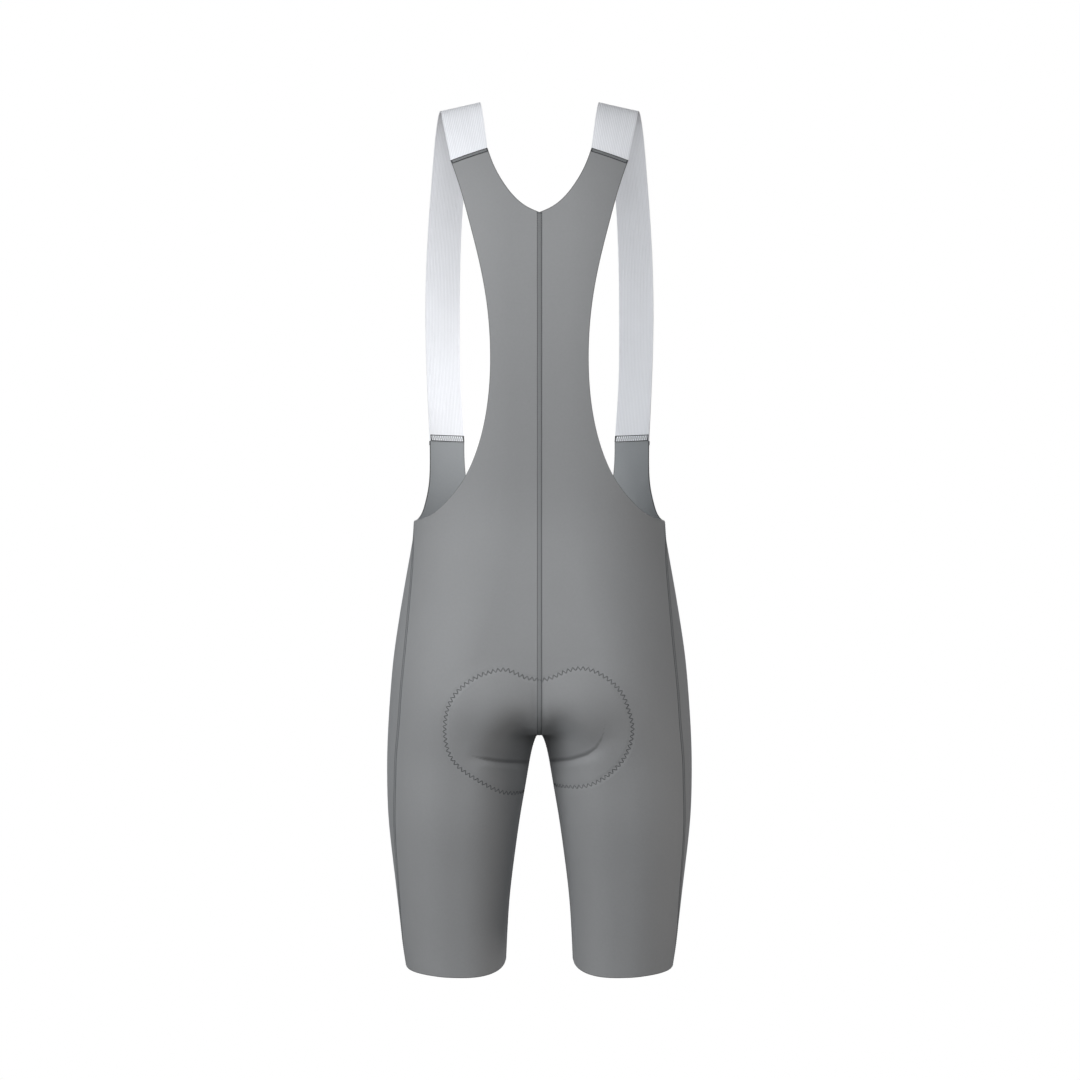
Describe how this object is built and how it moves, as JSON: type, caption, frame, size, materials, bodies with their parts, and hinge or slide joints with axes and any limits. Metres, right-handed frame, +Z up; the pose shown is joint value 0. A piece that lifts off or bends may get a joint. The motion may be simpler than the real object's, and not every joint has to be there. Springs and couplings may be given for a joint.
{
  "type": "cycling bib shorts",
  "caption": "Knitted cycling shorts with a high racer back, a low scooped front, elastic braces over the shoulders and a sewn-in seat pad, in the form they take when worn.",
  "frame": {"origin": "where the shoulders hold the garment up: midway between the braces, level with the underside of the elastic on top of the shoulders", "axes": "+Z up; the wearer faces +Y, so the back of the garment faces -Y; -X is the wearer's left"},
  "size_m": [0.334, 0.2335, 0.9433],
  "materials": {
    "grey_knit": "matt stretch knit with a soft sheen",
    "white_elastic": "ribbed lengthwise, matt",
    "pad_fleece": "brushed, soft",
    "grey_thread": "spun sewing thread"
  },
  "bodies": {
    "root": {"back_left": "grey_knit", "back_right": "grey_knit", "front_left": "grey_knit", "front_right": "grey_knit", "brace_left": "white_elastic", "brace_right": "white_elastic", "seat_pad": "pad_fleece"}
  },
  "joints": []
}
